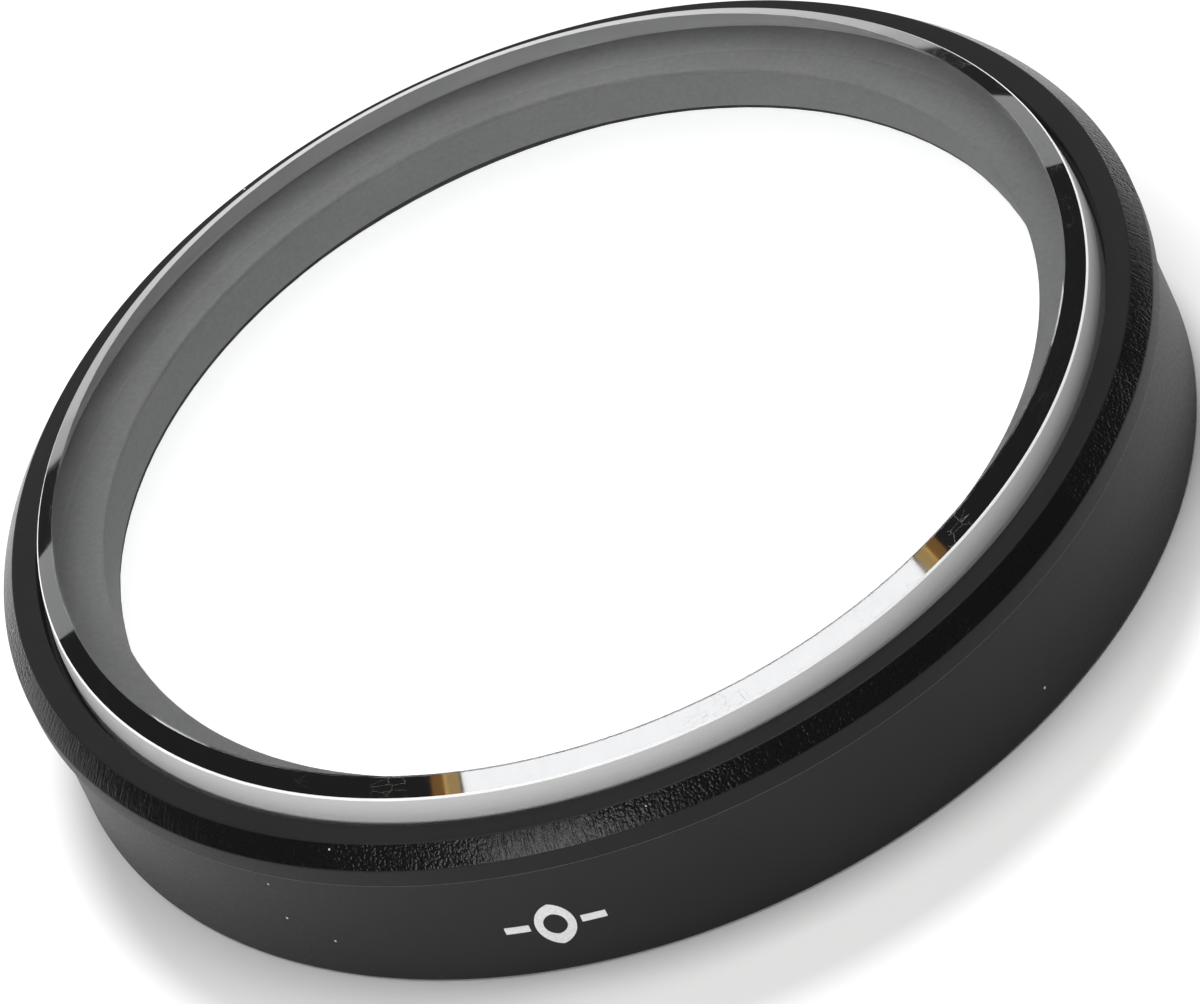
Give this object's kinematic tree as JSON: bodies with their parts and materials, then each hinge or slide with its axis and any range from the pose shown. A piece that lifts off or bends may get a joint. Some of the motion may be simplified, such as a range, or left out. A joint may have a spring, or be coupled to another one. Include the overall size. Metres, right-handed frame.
{
  "type": "loupe lens cell",
  "caption": "Short black ring mount holding a clear magnifying lens that stands slightly proud of a screw-on front bezel; drops into a loupe holder.",
  "frame": {"origin": "on the optical axis, in the plane of the barrel's rear end, on which the cell stands", "axes": "+Z along the optical axis towards the front lens; +X and +Y lie in the rear plane, with the wall mark towards -Y and a little to -X"},
  "size_m": [0.028, 0.028, 0.0052],
  "materials": {
    "barrel": "satin moulded black",
    "bezel": "satin black face, glossy black bevel with a fine leather grain",
    "slip_ring": "smooth black",
    "gasket": "matt black",
    "front_glass": "polished clear, ground outer edge",
    "rear_glass": "polished clear, ground outer edge",
    "retaining_ring": "black anodised, turned",
    "mark": "white filled mark"
  },
  "bodies": {
    "barrel": {"barrel": "barrel", "front_lens": "front_glass", "rear_lens": "rear_glass", "bezel_gasket": "gasket", "front_seat_gasket": "gasket", "rear_seat_gasket": "gasket", "rear_retaining_ring": "retaining_ring", "wall_mark": "mark"},
    "slip_ring": {"slip_ring": "slip_ring"},
    "bezel": {"bezel_ring": "bezel"}
  },
  "joints": [
    {"name": "bezel_travel", "type": "slide", "parent": "barrel", "child": "slip_ring", "axis": [0, 0, 1], "range_m": [0, 0.0006125]},
    {"name": "bezel_turn", "type": "hinge", "parent": "slip_ring", "child": "bezel", "pos_m": [0, 0, 0.004], "axis": [0, 0, 1], "range_deg": [0, 632]}
  ],
  "couplings": [
    {"joint": "bezel_turn", "follows": "bezel_travel", "rad_per_m": 17952}
  ]
}
